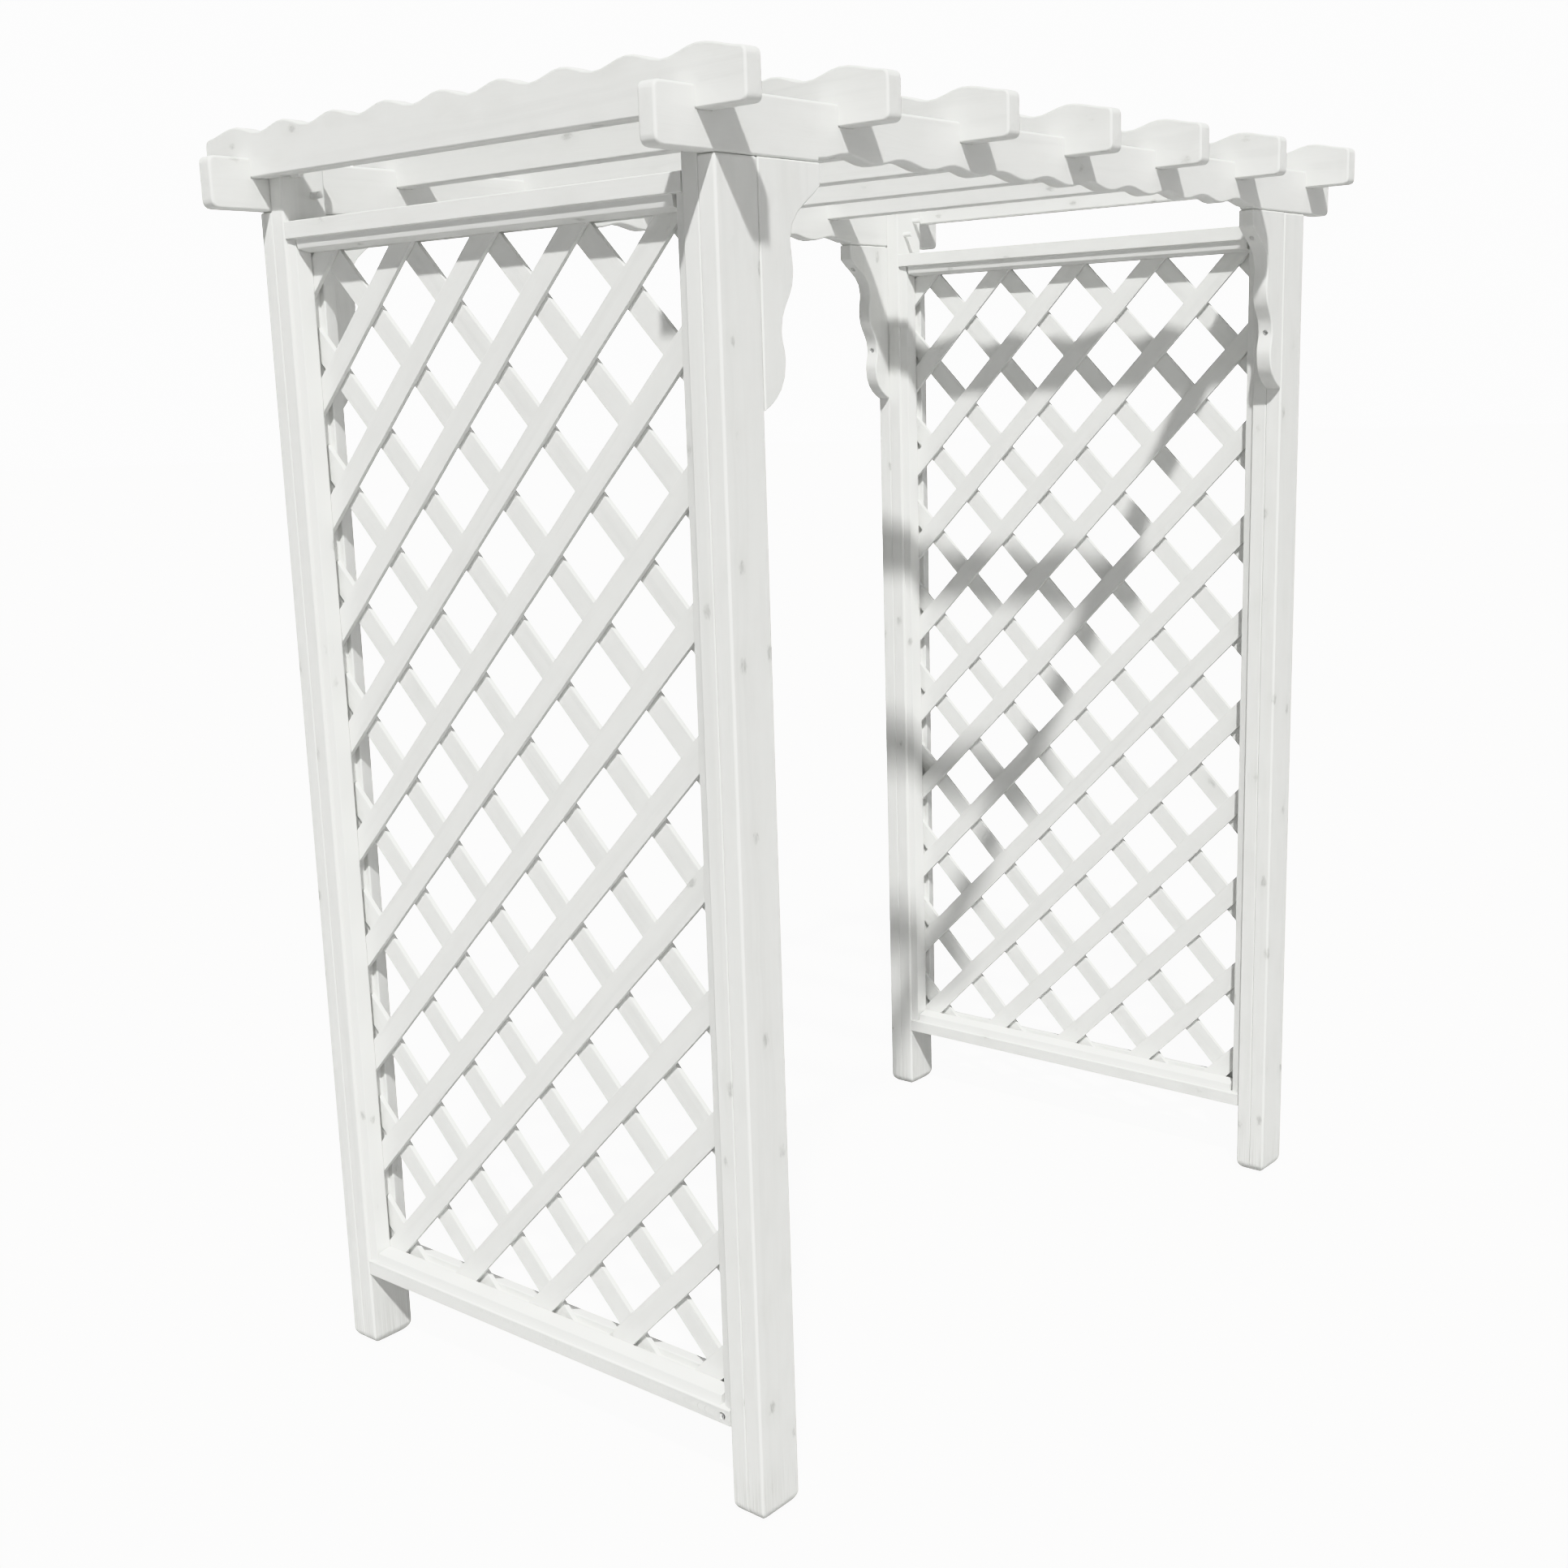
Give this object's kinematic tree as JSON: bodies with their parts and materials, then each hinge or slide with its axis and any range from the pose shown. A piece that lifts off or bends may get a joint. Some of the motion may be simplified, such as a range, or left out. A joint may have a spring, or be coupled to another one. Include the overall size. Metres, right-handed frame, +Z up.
{
  "type": "timber garden arch",
  "caption": "White painted timber garden arch with lattice side panels, scroll brackets, scalloped header beams and wavy rafters over a walk-through passage.",
  "frame": {"origin": "on the ground, in the middle of the arch", "axes": "+Z up, X across the passage, Y through the passage with the front facing -Y"},
  "size_m": [2.012, 1.208, 2.191],
  "materials": {
    "timber_paint": "satin white exterior paint over planed softwood, faint grain and knots showing",
    "lath_paint": "satin white exterior paint over sawn softwood laths",
    "screw_steel": "zinc plated, dull"
  },
  "bodies": {
    "root": {"back_header_beam": "timber_paint", "back_left_beam_screw_high": "screw_steel", "back_left_beam_screw_low": "screw_steel", "back_left_bracket": "timber_paint", "back_left_bracket_beam_screw": "screw_steel", "back_left_bracket_post_screw": "screw_steel", "back_left_post_inner_ply": "timber_paint", "back_left_post_outer_ply": "timber_paint", "back_right_beam_screw_high": "screw_steel", "back_right_beam_screw_low": "screw_steel", "back_right_bracket": "timber_paint", "back_right_bracket_beam_screw": "screw_steel", "back_right_bracket_post_screw": "screw_steel", "back_right_post_inner_ply": "timber_paint", "back_right_post_outer_ply": "timber_paint", "front_header_beam": "timber_paint", "front_left_beam_screw_high": "screw_steel", "front_left_beam_screw_low": "screw_steel", "front_left_bracket": "timber_paint", "front_left_bracket_beam_screw": "screw_steel", "front_left_bracket_post_screw": "screw_steel", "front_left_post_inner_ply": "timber_paint", "front_left_post_outer_ply": "timber_paint", "front_right_beam_screw_high": "screw_steel", "front_right_beam_screw_low": "screw_steel", "front_right_bracket": "timber_paint", "front_right_bracket_beam_screw": "screw_steel", "front_right_bracket_post_screw": "screw_steel", "front_right_post_inner_ply": "timber_paint", "front_right_post_outer_ply": "timber_paint", "left_bottom_rail": "timber_paint", "left_lattice": "lath_paint", "left_top_rail": "timber_paint", "rafter_1": "timber_paint", "rafter_1_back_screw": "screw_steel", "rafter_1_front_screw": "screw_steel", "rafter_2": "timber_paint", "rafter_2_back_screw": "screw_steel", "rafter_2_front_screw": "screw_steel", "rafter_3": "timber_paint", "rafter_3_back_screw": "screw_steel", "rafter_3_front_screw": "screw_steel", "rafter_4": "timber_paint", "rafter_4_back_screw": "screw_steel", "rafter_4_front_screw": "screw_steel", "rafter_5": "timber_paint", "rafter_5_back_screw": "screw_steel", "rafter_5_front_screw": "screw_steel", "rafter_6": "timber_paint", "rafter_6_back_screw": "screw_steel", "rafter_6_front_screw": "screw_steel", "rafter_7": "timber_paint", "rafter_7_back_screw": "screw_steel", "rafter_7_front_screw": "screw_steel", "right_bottom_rail": "timber_paint", "right_lattice": "lath_paint", "right_top_rail": "timber_paint"}
  },
  "joints": []
}
